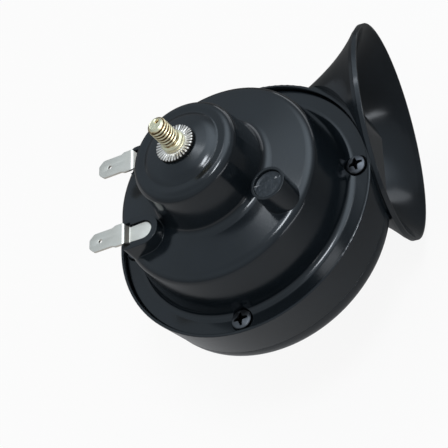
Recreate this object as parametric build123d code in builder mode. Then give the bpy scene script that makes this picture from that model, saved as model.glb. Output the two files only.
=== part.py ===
from build123d import *
import os
from math import atan2, cos, degrees, hypot, radians, sin

os.makedirs("parts", exist_ok=True)

# A snail-shaped electric car horn. Everything is in millimetres. +Z points out along the mounting
# stud, +X is the way the bell faces, and z = 0 is the top of the stud's plain shoulder, where its
# thread begins.

# ---- Clearances
fit_gap = 0.15  # a piece seated in or round another's curved wall
joint_gap = 0.3  # mouldings and formed pieces that meet along a curved edge

# ---- Mounting stud and its serrated washer
stud_radius = 3.0  # M6
stud_reach = 8.7
stud_tip_radius = 1.9
stud_tip_length = 1.0
stud_pit_radius = 0.9
stud_shoulder_radius = 3.57
stud_shoulder_height = 1.5
stud_root_length = 17.0  # from under the shoulder down into the pole core
washer_radius = 6.1
washer_thickness = 1.3
washer_teeth = 36
washer_tooth_depth = 0.4
washer_tooth_length = 1.9

# ---- Rear cover: a domed pot on a wider drum, with a flange round its foot
cover_wall = 2.2
pad_radius = 6.6  # flat under the washer
hub_radius = 10.7  # the low mound round the stud, rounded over at this radius
hub_drop = 0.95
hub_round = 5.5
ledge_radius = 12.4  # where the mound meets the ledge round it
ledge_drop = 2.27
ledge_round = 0.8
brow_radius = 15.5  # the rounded brow between the ledge and the dome's wall
brow_rise = 0.1
brow_round = 2.4
dome_top_radius = 16.95
dome_shoulder_drop = 4.15
dome_shoulder_round = 1.8
dome_base_radius = 18.5
dome_height = 18.4
dome_foot_round = 3.0
drum_slope = 2.5
drum_edge_round = 3.2
drum_draft = 2.8  # the drum is wider at its foot by this all round
drum_height = 17.7
drum_foot_round = 2.4
drum_foot_wall = 2.8
clamp_pad_thickness = 5.2  # from the pad down to the magnet's seat
magnet_seat_depth = 6.0
inner_pad_drop = 3.0  # flats inside, below the drum's ceiling at the dome
flange_radius = 42.08
flange_width = 6.28  # outside the drum's foot
flange_thickness = 2.2
flange_edge = 0.3

# ---- Screws through the flange
screw_inset = 3.78  # from the flange's edge to each screw
screw_pair_half_angle = 47.5
screw_axis_angles = (-45.0, 135.0)
screw_head_radius = 3.25
screw_head_height = 2.0
screw_shank_radius = 1.75
screw_length = 6.3
screw_seat_radius = 3.45
screw_seat_depth = 0.5
cross_width = 0.9
cross_length = 3.9
cross_depth = 1.2

# ---- Terminals, their bosses and posts
terminal_offset = 12.9  # to each side of the X axis
lower_terminal_inset = 7.5  # from the drum's edge to the foot of the terminal's ramp
upper_terminal_inset = 10.3
terminal_thickness = 0.8
terminal_width = 6.3
terminal_shoulder_width = 7.4
terminal_tongue_width = 5.7
terminal_blade_length = 8.5
terminal_shoulder_length = 2.6
terminal_ramp_length = 2.4
terminal_tongue_length = 7.1
terminal_joggle = 1.8
terminal_chamfer = 1.9
terminal_hole_radius = 0.85
terminal_hole_inset = 3.9
terminal_boss_height = 3.3  # above the foot of the dome
terminal_boss_rim = 2.35  # from the tongue's edge to the boss's outside
terminal_boss_end = 2.8  # past the ramp's foot
terminal_boss_corner = 1.6
terminal_pocket_depth = 1.3
post_radius = 1.2
post_place = 3.6  # from the ramp's foot
post_foot_radius = 2.2
post_foot_thickness = 1.0
post_pad_radius = 3.2

# ---- Adjusting screw in its tubular boss
adjuster_angle = -33.22  # round from the X axis
adjuster_inset = 5.99  # from the drum's edge
adjuster_boss_radius = 5.3
adjuster_boss_height = 6.7  # above the foot of the dome
adjuster_bore_radius = 4.5
adjuster_bore_depth = 4.4
adjuster_radius = 2.0
adjuster_head_radius = 3.9
adjuster_head_height = 1.8
adjuster_slot_width = 0.9
adjuster_slot_depth = 0.9
sealant_thickness = 2.3  # on the side away from the dome
sealant_low_thickness = 1.2  # towards the dome
sealant_edge_angle = 7.1
sealant_edge_offset = 1.1  # past the middle of the bore
sealant_round = 0.4

# ---- Magnet: yoke cup, pole core and coil
yoke_radius = 14.2
yoke_wall = 1.8
yoke_top = 2.5
yoke_rim_drop = 3.2  # from the leads to the yoke's rim
yoke_notch_width = 2.6
yoke_notch_room = 0.6  # over the leads
core_radius = 5.0
core_bore_depth = 9.5
bobbin_wall = 0.9
bobbin_flange_thickness = 1.2
bobbin_lead_room = 0.7  # from the leads to the bobbin's lower flange
winding_room = 0.7  # inside the bobbin's flanges

# ---- Armature, diaphragm and gaskets
pole_gap = 1.0
plunger_radius = 9.0
plunger_height = 3.8
armature_flange_radius = 13.0
armature_flange_thickness = 2.0
armature_hub_radius = 5.0
diaphragm_inset = 0.38  # inside the flange's edge
diaphragm_thickness = 0.5
diaphragm_bead_radius = 22.0
diaphragm_bead_width = 6.0
diaphragm_bead_height = 0.8
gasket_thickness = 0.5
gasket_width = 6.3
rivet_radius = 1.6
rivet_length = 4.0
rivet_head_radius = 4.0
rivet_head_height = 0.9

# ---- Contact breaker inside the drum, beside the adjusting screw
breaker_block_length = 8.0
breaker_block_width = 8.0
breaker_block_height = 8.3
breaker_inset = 12.5  # from the drum's edge, towards the adjusting screw
breaker_along = 13.0  # at right angles to that
breaker_screw_spacing = 4.0
breaker_screw_radius = 1.0
breaker_screw_length = 7.0
breaker_screw_head_radius = 1.8
breaker_screw_head_height = 1.0
breaker_strip_width = 5.0
spring_thickness = 0.3
spring_tab_width = 4.0
spring_tab_reach = 1.4  # over the armature's flange
contact_arm_thickness = 0.8
contact_radius = 1.6
contact_height = 1.0
contact_along = 3.5

# ---- Internal leads
lead_radius = 0.6
coil_lead_angle = 36.0  # from the adjusting screw, to meet the breaker's block

# ---- Trumpet housing: rim, deck and spiral channel
rim_thickness = 0.9
rim_proud = 1.8  # above the flange
deck_thickness = 3.5
chamber_step = 0.9  # inside the gaskets
chamber_depth = 1.6
throat_radius = 5.0
housing_seam_drop = 14.4
housing_draft = 1.68  # the housing is narrower at its seam by this all round
housing_wall = 2.2
front_depth = 9.0
front_corner_radius = 8.4
front_inner_corner_radius = 4.2
front_wall = 2.0
channel_wall = 1.8
channel_start_radius = 7.5
channel_turn = 300.0
channel_start_half_width = 4.8
channel_end_half_width = 7.8
channel_stations = 11
channel_gap = 0.04  # between the channel's end and the front cover's inner rounding
channel_run_on = 7.0

# ---- Bell
bell_setback = 1.3  # the middle of the mouth lies this far inside the rim
bell_drop = 7.5  # below the housing's seam
bell_tilt = 8.1  # below the horizontal
bell_mouth_radius = 34.4
bell_lip_length = 1.7
bell_lip_width = 0.75
bell_lip_bevel = 0.3
bell_wall = 1.8
bell_notch_width = 0.65
bell_notch_wall = 2.0
bell_flare = (  # outer radius at distances along the axis, back from the mouth
    (-60.0, 7.2),
    (-52.0, 10.0),
    (-42.0, 12.2),
    (-32.0, 15.4),
    (-22.0, 19.7),
    (-13.9, 24.1),
    (-7.7, 28.5),
    (-2.7, 33.3),
)

# ---------------------------------------------------------------- radii worked out from the sizes
drum_foot_radius = flange_radius - flange_width
drum_radius = drum_foot_radius - drum_draft
screw_circle_radius = flange_radius - screw_inset
diaphragm_radius = flange_radius - diaphragm_inset
gasket_inner_radius = diaphragm_radius - gasket_width
chamber_radius = gasket_inner_radius - chamber_step
rim_radius_in = flange_radius + joint_gap
rim_radius_out = rim_radius_in + rim_thickness
housing_seam_radius = rim_radius_out - housing_draft
housing_inner_radius = housing_seam_radius - housing_wall
adjuster_distance = drum_radius - adjuster_inset
breaker_across = drum_radius - breaker_inset

# ---------------------------------------------------------------- levels worked out from the sizes
washer_top = -stud_shoulder_height
pad_top = washer_top - washer_thickness
hub_z = pad_top - hub_drop
ledge_z = pad_top - ledge_drop
brow_z = ledge_z + brow_rise
dome_shoulder_z = pad_top - dome_shoulder_drop
dome_base_z = pad_top - dome_height
drum_edge_z = dome_base_z - drum_slope
flange_top = drum_edge_z - drum_height
flange_bottom = flange_top - flange_thickness
magnet_seat = pad_top - clamp_pad_thickness
coil_top = magnet_seat - yoke_top
ceiling_z = dome_base_z - cover_wall
inner_pad_z = ceiling_z - inner_pad_drop
lead_z = inner_pad_z - post_foot_thickness - lead_radius
yoke_bottom = lead_z - yoke_rim_drop
coil_bottom = lead_z - lead_radius - bobbin_lead_room - bobbin_flange_thickness
diaphragm_top = flange_bottom - gasket_thickness
diaphragm_bottom = diaphragm_top - diaphragm_thickness
deck_top = diaphragm_bottom - gasket_thickness
chamber_floor = deck_top - chamber_depth
deck_bottom = deck_top - deck_thickness
rim_top = flange_top + rim_proud
seam_z = rim_top - housing_seam_drop
front_z = seam_z - front_depth
front_inside = front_z + front_wall
screw_seat_z = flange_top - screw_seat_depth
plunger_top = yoke_bottom - pole_gap
armature_flange_top = plunger_top - plunger_height
armature_flange_bottom = armature_flange_top - armature_flange_thickness
terminal_boss_top = dome_base_z + terminal_boss_height
tongue_bottom = terminal_boss_top - terminal_pocket_depth
adjuster_boss_top = dome_base_z + adjuster_boss_height
adjuster_bore_floor = adjuster_boss_top - adjuster_bore_depth
adjuster_head_top = adjuster_bore_floor + adjuster_head_height
spring_top = inner_pad_z - breaker_block_height
spring_bottom = spring_top - spring_thickness
arm_top = spring_bottom - 2 * contact_height
arm_bottom = arm_top - contact_arm_thickness
bell_notch_radius = rim_radius_out + bell_notch_width
bell_notch_wall_radius = bell_notch_radius + bell_notch_wall
bobbin_radius = yoke_radius - yoke_wall - 2 * fit_gap
bobbin_tube_radius = core_radius + fit_gap + bobbin_wall
winding_radius = bobbin_radius - winding_room

screw_places = [
    (
        screw_circle_radius * cos(radians(middle + side * screw_pair_half_angle)),
        screw_circle_radius * sin(radians(middle + side * screw_pair_half_angle)),
    )
    for middle in screw_axis_angles
    for side in (-1, 1)
]
terminal_half_widths = (terminal_tongue_width / 2, terminal_shoulder_width / 2, terminal_width / 2)
terminal_ramps = {  # where each ramp's foot is along X, and the side of the X axis
    "terminal_lower": (lower_terminal_inset - drum_radius, -1),
    "terminal_upper": (upper_terminal_inset - drum_radius, 1),
}
post_places = [
    (ramp + post_place, side * terminal_offset) for ramp, side in terminal_ramps.values()
]

# The breaker's plane has x towards the adjusting screw and y at right angles to it.
adjuster_x = adjuster_distance * cos(radians(adjuster_angle))
adjuster_y = adjuster_distance * sin(radians(adjuster_angle))
breaker_x_dir = (adjuster_x, adjuster_y, 0)
strip_inner = breaker_across - breaker_strip_width / 2
strip_outer = breaker_across + breaker_strip_width / 2
block_near = breaker_along - breaker_block_width / 2
block_far = breaker_along + breaker_block_width / 2
breaker_screw_places = [
    (breaker_across, breaker_along + side * breaker_screw_spacing / 2) for side in (-1, 1)
]

# The channel ends just inside the front cover's rounding, and the bell carries on from it. The bell
# is turned about its own tilted axis. Its plane has x along the axis, out of the mouth.
channel_room = front_inner_corner_radius + channel_gap + channel_wall + channel_end_half_width
bell_x = rim_radius_out - bell_setback
bell_y = housing_inner_radius - channel_room
bell_z = seam_z - bell_drop
bell_axis_dir = (cos(radians(bell_tilt)), 0, -sin(radians(bell_tilt)))
bell_plane = Plane(origin=(bell_x, bell_y, bell_z), x_dir=bell_axis_dir, z_dir=(0, -1, 0))
bell_axis = Axis((bell_x, bell_y, bell_z), bell_axis_dir)


# ---------------------------------------------------------------- shared steps
def finish(piece, name):
    """Label a finished piece and write it to its own file."""
    piece.part.label = name
    export_step(piece.part, f"parts/{name}.step")


def level(height):
    """A horizontal plane at this height."""
    return Plane.XY.offset(height)


def breaker_level(height):
    """A horizontal plane at this height, turned to face the adjusting screw."""
    return Plane(origin=(0, 0, height), x_dir=breaker_x_dir, z_dir=(0, 0, 1))


def turn(corners, mode=Mode.ADD):
    """Turn a closed outline of (radius, height, rounding) corners about the Z axis."""
    points = [(radius, height) for radius, height, _ in corners]
    roundings = [rounding for _, _, rounding in corners]
    with BuildSketch(Plane.XZ) as outline:
        with BuildLine():
            FilletPolyline(*points, radius=roundings, close=True)
        make_face()
    revolve(outline.sketch, axis=Axis.Z, mode=mode)


def disc(radius, top, bottom, places=((0, 0),), mode=Mode.ADD):
    """Upright cylinders from the top height down to the bottom height, one at each place."""
    with BuildSketch(level(bottom)) as outline:
        with Locations(*places):
            Circle(radius)
    extrude(outline.sketch, amount=top - bottom, mode=mode)


def ring(outer, inner, top, bottom):
    """An upright ring from the top height down to the bottom height."""
    disc(outer, top, bottom)
    disc(inner, top, bottom, mode=Mode.SUBTRACT)


def wall_points(points, depth):
    """The points of a profile moved square to it, inwards by this depth."""
    moved = []
    for i, (x, y) in enumerate(points):
        x0, y0 = points[max(i - 1, 0)]
        x1, y1 = points[min(i + 1, len(points) - 1)]
        run = hypot(x1 - x0, y1 - y0)
        moved.append((x + depth * (y1 - y0) / run, y - depth * (x1 - x0) / run))
    return moved


def turned_bell(profile, end):
    """A solid horn form: a smooth profile from the root, then straight lines to the mouth."""
    root = profile[0]
    mouth = end[-1]
    with BuildPart() as form:
        with BuildSketch(bell_plane) as half:
            with BuildLine():
                Spline(*profile)
                Polyline(profile[-1], *end, (mouth[0], 0), (root[0], 0), root)
            make_face()
        revolve(half.sketch, axis=bell_axis)
    return form.part


lip_back = -bell_lip_length
bell_outer = turned_bell(
    bell_flare,
    [
        (lip_back, bell_mouth_radius - bell_lip_bevel),
        (lip_back + bell_lip_bevel, bell_mouth_radius),
        (0, bell_mouth_radius),
    ],
)
around_radius = bell_mouth_radius + joint_gap
bell_around = turned_bell(
    wall_points(bell_flare, -joint_gap), [(lip_back - joint_gap, around_radius), (0, around_radius)]
)
bell_inner = turned_bell(  # opens out of the channel, two stations further on than the outer form
    wall_points(bell_flare, bell_wall)[2:],
    [(0, bell_mouth_radius - bell_lip_width), (bell_lip_length, bell_mouth_radius)],
)

# ---------------------------------------------------------------- mounting stud and washer
with BuildPart() as mounting_stud:
    turn(
        [
            (0, stud_reach - stud_pit_radius / 2, 0),
            (stud_pit_radius, stud_reach, 0),
            (stud_tip_radius, stud_reach, 0),
            (stud_radius, stud_reach - stud_tip_length, 0),
            (stud_radius, 0, 0),
            (stud_shoulder_radius, 0, 0),
            (stud_shoulder_radius, washer_top, 0),
            (stud_radius, washer_top, 0),
            (stud_radius, washer_top - stud_root_length, 0),
            (0, washer_top - stud_root_length, 0),
        ]
    )
finish(mounting_stud, "mounting_stud")

stud_hole_radius = stud_radius + fit_gap
with BuildPart() as serrated_washer:
    ring(washer_radius, stud_hole_radius, washer_top, pad_top)
    # V grooves across the outer part of the upper face leave radial teeth
    tooth_pitch = 2 * washer_radius * sin(radians(180 / washer_teeth))
    groove_plane = Plane(origin=(washer_radius, 0, washer_top), x_dir=(0, 1, 0), z_dir=(1, 0, 0))
    with BuildSketch(groove_plane) as groove:
        with BuildLine():
            Polyline(
                (-tooth_pitch / 2, 0), (0, -washer_tooth_depth), (tooth_pitch / 2, 0), close=True
            )
        make_face()
    cutter = extrude(groove.sketch, amount=-washer_tooth_length, mode=Mode.PRIVATE)
    with PolarLocations(0, washer_teeth):
        add(cutter, mode=Mode.SUBTRACT)
finish(serrated_washer, "serrated_washer")

# ---------------------------------------------------------------- rear cover
magnet_bore = yoke_radius + fit_gap
with BuildPart() as rear_cover:
    turn(
        [
            (0, pad_top, 0),
            (pad_radius, pad_top, 0),
            (hub_radius, hub_z, hub_round),
            (ledge_radius, ledge_z, ledge_round),
            (brow_radius, brow_z, brow_round),
            (dome_top_radius, dome_shoulder_z, dome_shoulder_round),
            (dome_base_radius, dome_base_z, dome_foot_round),
            (drum_radius, drum_edge_z, drum_edge_round),
            (drum_foot_radius, flange_top, drum_foot_round),
            (flange_radius, flange_top, flange_edge),
            (flange_radius, flange_bottom, 0),
            (0, flange_bottom, 0),
        ]
    )
    # bosses standing on the drum's sloping face
    disc(adjuster_boss_radius, adjuster_boss_top, ceiling_z, [(adjuster_x, adjuster_y)])
    for ramp, side in terminal_ramps.values():
        boss_half_width = terminal_half_widths[0] + terminal_boss_rim
        round_x = ramp + terminal_tongue_length - terminal_half_widths[0]
        with BuildSketch(level(inner_pad_z)) as boss_plan:
            with Locations((round_x, side * terminal_offset)):
                Circle(boss_half_width)
            with Locations(((round_x + ramp - terminal_boss_end) / 2, side * terminal_offset)):
                Rectangle(round_x - ramp + terminal_boss_end, 2 * boss_half_width)
            fillet(boss_plan.vertices().group_by(Axis.X)[0], terminal_boss_corner)
        extrude(boss_plan.sketch, amount=terminal_boss_top - inner_pad_z)
    # hollow inside, with a narrower seat for the magnet at the top
    turn(
        [
            (0, magnet_seat, 0),
            (magnet_bore, magnet_seat, 0),
            (magnet_bore, magnet_seat - magnet_seat_depth, 0),
            (dome_base_radius - cover_wall, magnet_seat - magnet_seat_depth - cover_wall, 0),
            (dome_base_radius - cover_wall, ceiling_z, 0),
            (drum_radius - cover_wall, drum_edge_z - cover_wall, 1.0),
            (drum_foot_radius - drum_foot_wall, flange_bottom, 0),
            (0, flange_bottom, 0),
        ],
        Mode.SUBTRACT,
    )
    # flats inside for the terminal posts, the adjusting screw and the breaker
    disc(post_pad_radius, ceiling_z, inner_pad_z, post_places)
    disc(adjuster_boss_radius, ceiling_z, inner_pad_z, [(adjuster_x, adjuster_y)])
    with BuildSketch(breaker_level(inner_pad_z)) as block_pad:
        with Locations((breaker_across, breaker_along)):
            Rectangle(breaker_block_length, breaker_block_width)
    extrude(block_pad.sketch, amount=inner_pad_drop)
    # pockets for the terminals' tongues, open at the outer end
    for ramp, side in terminal_ramps.values():
        pocket_half_width = terminal_half_widths[1] + joint_gap
        round_x = ramp + terminal_tongue_length - terminal_half_widths[0]
        with BuildSketch(level(tongue_bottom)) as pocket_plan:
            with Locations((round_x, side * terminal_offset)):
                Circle(terminal_half_widths[0] + joint_gap)
            with Locations((round_x / 2 + ramp / 2, side * terminal_offset)):
                Rectangle(round_x - ramp, 2 * (terminal_half_widths[0] + joint_gap))
            with Locations((ramp - terminal_boss_end, side * terminal_offset)):
                Rectangle(2 * terminal_boss_end, 2 * pocket_half_width)
        extrude(pocket_plan.sketch, amount=terminal_pocket_depth, mode=Mode.SUBTRACT)
    # holes
    disc(stud_hole_radius, pad_top, magnet_seat, mode=Mode.SUBTRACT)
    disc(post_radius + fit_gap, tongue_bottom, inner_pad_z, post_places, Mode.SUBTRACT)
    adjuster_place = [(adjuster_x, adjuster_y)]
    disc(adjuster_bore_radius, adjuster_boss_top, adjuster_bore_floor, adjuster_place, Mode.SUBTRACT)
    disc(adjuster_radius + fit_gap, adjuster_bore_floor, inner_pad_z, adjuster_place, Mode.SUBTRACT)
    disc(screw_seat_radius, flange_top + 2.5 * screw_head_height, screw_seat_z, screw_places, Mode.SUBTRACT)
    disc(screw_shank_radius + fit_gap, screw_seat_z, flange_bottom, screw_places, Mode.SUBTRACT)
finish(rear_cover, "rear_cover")

# ---------------------------------------------------------------- adjusting screw and its sealant
with BuildPart() as adjusting_screw:
    disc(adjuster_head_radius, adjuster_head_top, adjuster_bore_floor, adjuster_place)
    chamfer(adjusting_screw.edges().sort_by(Axis.Z)[-1], 0.3)
    disc(adjuster_radius, adjuster_bore_floor, arm_top, adjuster_place)
    with BuildSketch(level(adjuster_head_top)) as slot:
        with Locations((adjuster_x, adjuster_y)):
            Rectangle(2 * adjuster_head_radius, adjuster_slot_width, rotation=sealant_edge_angle + 90)
    extrude(slot.sketch, amount=-adjuster_slot_depth, mode=Mode.SUBTRACT)
finish(adjusting_screw, "adjusting_screw")

with BuildPart() as adjuster_sealant:
    # set compound over the screw's head, with a step up to the side away from the dome
    sealant_plane = Plane(
        origin=(adjuster_x, adjuster_y, adjuster_head_top),
        x_dir=(cos(radians(sealant_edge_angle)), sin(radians(sealant_edge_angle)), 0),
        z_dir=(0, 0, 1),
    )
    with BuildSketch(sealant_plane) as filled:
        Circle(adjuster_bore_radius - fit_gap)
        with Locations((0, adjuster_bore_radius + sealant_edge_offset)):
            Rectangle(2 * adjuster_bore_radius, 2 * adjuster_bore_radius, mode=Mode.SUBTRACT)
    extrude(filled.sketch, amount=sealant_thickness)
    fillet(adjuster_sealant.faces().sort_by(Axis.Z)[-1].edges(), sealant_round)
    sealant_low_top = adjuster_head_top + sealant_low_thickness
    disc(adjuster_bore_radius - fit_gap, sealant_low_top, adjuster_head_top, adjuster_place)
finish(adjuster_sealant, "adjuster_sealant")

# ---------------------------------------------------------------- terminals and their posts
for name, (ramp, side) in terminal_ramps.items():
    tongue_half, shoulder_half, blade_half = terminal_half_widths
    crest = ramp - terminal_ramp_length
    shoulder_end = crest - terminal_shoulder_length
    tip = shoulder_end - terminal_blade_length
    tongue_top = tongue_bottom + terminal_thickness
    tongue_end = ramp + terminal_tongue_length
    with BuildPart() as terminal:
        # the bent strip from the side, as wide as its shoulders
        middle_plane = Plane(origin=(0, side * terminal_offset, 0), x_dir=(1, 0, 0), z_dir=(0, -1, 0))
        with BuildSketch(middle_plane) as bent:
            with BuildLine():
                Polyline(
                    (tongue_end, tongue_bottom),
                    (ramp, tongue_bottom),
                    (crest, tongue_bottom + terminal_joggle),
                    (tip, tongue_bottom + terminal_joggle),
                    (tip, tongue_top + terminal_joggle),
                    (crest, tongue_top + terminal_joggle),
                    (ramp, tongue_top),
                    (tongue_end, tongue_top),
                    close=True,
                )
            make_face()
        extrude(bent.sketch, amount=shoulder_half, both=True)
        # cut to its outline from above
        half_outline = [
            (tongue_end - tongue_half, tongue_half),
            (ramp, tongue_half),
            (crest + terminal_thickness, shoulder_half),
            (shoulder_end + terminal_thickness, shoulder_half),
            (shoulder_end, blade_half),
            (tip + terminal_chamfer, blade_half),
            (tip, blade_half - terminal_chamfer),
        ]
        other_half = [(x, -y) for x, y in reversed(half_outline)]
        with BuildSketch(Plane((0, side * terminal_offset, tongue_bottom))) as plan:
            with BuildLine():
                Polyline(*half_outline, *other_half)
                Spline(
                    half_outline[0],
                    (tongue_end - 0.3 * tongue_half, 0.65 * tongue_half),
                    (tongue_end, 0),
                    (tongue_end - 0.3 * tongue_half, -0.65 * tongue_half),
                    other_half[-1],
                    tangents=((1, 0), (-1, 0)),
                )
            make_face()
            with Locations((tip + terminal_hole_inset, 0)):
                Circle(terminal_hole_radius, mode=Mode.SUBTRACT)
        extrude(plan.sketch, amount=terminal_joggle + terminal_thickness, mode=Mode.INTERSECT)
    finish(terminal, name)

for name, place in zip(("terminal_post_lower", "terminal_post_upper"), post_places):
    with BuildPart() as terminal_post:
        disc(post_radius, tongue_bottom, inner_pad_z, [place])
        disc(post_foot_radius, inner_pad_z, inner_pad_z - post_foot_thickness, [place])
    finish(terminal_post, name)

# ---------------------------------------------------------------- flange screws
for number, place in enumerate(screw_places, 1):
    head_top = screw_seat_z + screw_head_height
    with BuildPart() as cover_screw:
        disc(screw_head_radius, head_top, screw_seat_z, [place])
        fillet(cover_screw.edges().sort_by(Axis.Z)[-1], 0.5 * screw_head_height)
        disc(screw_shank_radius, screw_seat_z, screw_seat_z - screw_length, [place])
        with BuildSketch(level(head_top)) as cross:
            with Locations(place):
                Rectangle(cross_length, cross_width)
                Rectangle(cross_width, cross_length)
        extrude(cross.sketch, amount=-cross_depth, taper=12, mode=Mode.SUBTRACT)
    finish(cover_screw, f"cover_screw_{number}")

# ---------------------------------------------------------------- magnet
lower_post_angle = degrees(atan2(post_places[0][1], post_places[0][0]))
coil_lead_angles = (lower_post_angle, adjuster_angle + coil_lead_angle)
with BuildPart() as yoke_cup:
    disc(yoke_radius, magnet_seat, yoke_bottom)
    chamfer(yoke_cup.edges().sort_by(Axis.Z)[-1], 0.5)
    disc(yoke_radius - yoke_wall, coil_top, yoke_bottom, mode=Mode.SUBTRACT)
    disc(stud_hole_radius, magnet_seat, coil_top, mode=Mode.SUBTRACT)
    # notches in the rim for the coil's leads
    for angle in coil_lead_angles:
        outward = (cos(radians(angle)), sin(radians(angle)), 0)
        with BuildSketch(Plane(origin=(0, 0, yoke_bottom), x_dir=outward, z_dir=(0, 0, 1))) as notch:
            with Locations((yoke_radius, 0)):
                Rectangle(2 * yoke_wall + 1, yoke_notch_width)
        notch_top = lead_z + lead_radius + yoke_notch_room
        extrude(notch.sketch, amount=notch_top - yoke_bottom, mode=Mode.SUBTRACT)
finish(yoke_cup, "yoke_cup")

with BuildPart() as pole_core:
    disc(core_radius, coil_top, yoke_bottom)
    disc(stud_hole_radius, coil_top, coil_top - core_bore_depth, mode=Mode.SUBTRACT)
finish(pole_core, "pole_core")

with BuildPart() as coil_bobbin:
    disc(bobbin_tube_radius, coil_top, coil_bottom)
    disc(bobbin_radius, coil_top, coil_top - bobbin_flange_thickness)
    disc(bobbin_radius, coil_bottom + bobbin_flange_thickness, coil_bottom)
    disc(core_radius + fit_gap, coil_top, coil_bottom, mode=Mode.SUBTRACT)
finish(coil_bobbin, "coil_bobbin")

with BuildPart() as coil_winding:
    ring(
        winding_radius,
        bobbin_tube_radius + fit_gap,
        coil_top - bobbin_flange_thickness,
        coil_bottom + bobbin_flange_thickness,
    )
finish(coil_winding, "coil_winding")

# ---------------------------------------------------------------- diaphragm, armature and gaskets
with BuildPart() as armature:
    disc(plunger_radius, plunger_top, armature_flange_top)
    chamfer(armature.edges().sort_by(Axis.Z)[-1], 0.4)
    disc(armature_flange_radius, armature_flange_top, armature_flange_bottom)
    disc(armature_hub_radius, armature_flange_bottom, diaphragm_top)
    disc(rivet_radius + fit_gap, diaphragm_top + rivet_length, diaphragm_top, mode=Mode.SUBTRACT)
finish(armature, "armature")

with BuildPart() as armature_rivet:
    disc(rivet_radius, diaphragm_top + rivet_length, diaphragm_bottom)
    disc(rivet_head_radius, diaphragm_bottom, diaphragm_bottom - rivet_head_height)
    fillet(armature_rivet.edges().sort_by(Axis.Z)[0], 0.4)
finish(armature_rivet, "armature_rivet")

screw_clearance = screw_shank_radius + fit_gap
with BuildPart() as diaphragm:
    bead_half = diaphragm_bead_width / 2
    bead_rise = diaphragm_bead_height
    turn(
        [
            (0, diaphragm_bottom, 0),
            (diaphragm_bead_radius - bead_half, diaphragm_bottom, 1.5),
            (diaphragm_bead_radius, diaphragm_bottom + bead_rise, 1.5),
            (diaphragm_bead_radius + bead_half, diaphragm_bottom, 1.5),
            (diaphragm_radius, diaphragm_bottom, 0),
            (diaphragm_radius, diaphragm_top, 0),
            (diaphragm_bead_radius + bead_half, diaphragm_top, 1.5),
            (diaphragm_bead_radius, diaphragm_top + bead_rise, 1.5),
            (diaphragm_bead_radius - bead_half, diaphragm_top, 1.5),
            (0, diaphragm_top, 0),
        ]
    )
    disc(rivet_radius + fit_gap, diaphragm_top, diaphragm_bottom, mode=Mode.SUBTRACT)
    disc(screw_clearance, diaphragm_top, diaphragm_bottom, screw_places, Mode.SUBTRACT)
finish(diaphragm, "diaphragm")

for name, top in (("rear_gasket", flange_bottom), ("front_gasket", diaphragm_bottom)):
    with BuildPart() as gasket:
        ring(diaphragm_radius, gasket_inner_radius, top, top - gasket_thickness)
        disc(screw_clearance, top, top - gasket_thickness, screw_places, Mode.SUBTRACT)
    finish(gasket, name)

# ---------------------------------------------------------------- contact breaker
with BuildPart() as contact_block:
    with BuildSketch(breaker_level(spring_top)) as block_plan:
        with Locations((breaker_across, breaker_along)):
            Rectangle(breaker_block_length, breaker_block_width)
    extrude(block_plan.sketch, amount=breaker_block_height)
    with BuildSketch(breaker_level(spring_top)) as block_holes:
        with Locations(*breaker_screw_places):
            Circle(breaker_screw_radius + fit_gap)
    extrude(block_holes.sketch, amount=breaker_screw_length, mode=Mode.SUBTRACT)
finish(contact_block, "contact_block")


def breaker_strip(top, bottom, rectangles):
    """A flat strip of (x from, x to, y from, y to) rectangles, with holes for the two screws."""
    with BuildSketch(breaker_level(bottom)) as plan:
        for x0, x1, y0, y1 in rectangles:
            with Locations(((x0 + x1) / 2, (y0 + y1) / 2)):
                Rectangle(x1 - x0, y1 - y0)
        with Locations(*breaker_screw_places):
            Circle(breaker_screw_radius + fit_gap, mode=Mode.SUBTRACT)
    extrude(plan.sketch, amount=top - bottom)


tab_low = contact_along - spring_tab_width / 2
with BuildPart() as contact_spring:
    breaker_strip(
        spring_top,
        spring_bottom,
        [
            (strip_inner, strip_outer, tab_low, block_far),
            (armature_flange_radius - spring_tab_reach, strip_inner, tab_low, tab_low + spring_tab_width),
        ],
    )
finish(contact_spring, "contact_spring")

with BuildPart() as contact_spacer:
    breaker_strip(spring_bottom, arm_top, [(strip_inner, strip_outer, block_near, block_far)])
finish(contact_spacer, "contact_spacer")

with BuildPart() as contact_arm:
    arm_end = adjuster_distance + adjuster_radius
    breaker_strip(
        arm_top,
        arm_bottom,
        [
            (strip_inner, strip_outer, -breaker_strip_width / 2, block_far),
            (strip_outer, arm_end, -breaker_strip_width / 2, breaker_strip_width / 2),
        ],
    )
finish(contact_arm, "contact_arm")

for name, top in (("moving_contact", spring_bottom), ("fixed_contact", spring_bottom - contact_height)):
    with BuildPart() as contact:
        with BuildSketch(breaker_level(top - contact_height)) as contact_plan:
            with Locations((breaker_across, contact_along)):
                Circle(contact_radius)
        extrude(contact_plan.sketch, amount=contact_height)
    finish(contact, name)

for number, place in enumerate(breaker_screw_places, 1):
    with BuildPart() as breaker_screw:
        with BuildSketch(breaker_level(arm_bottom)) as shank:
            with Locations(place):
                Circle(breaker_screw_radius)
        extrude(shank.sketch, amount=breaker_screw_length)
        with BuildSketch(breaker_level(arm_bottom)) as head:
            with Locations(place):
                Circle(breaker_screw_head_radius)
        extrude(head.sketch, amount=-breaker_screw_head_height)
    finish(breaker_screw, f"breaker_screw_{number}")

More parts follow.
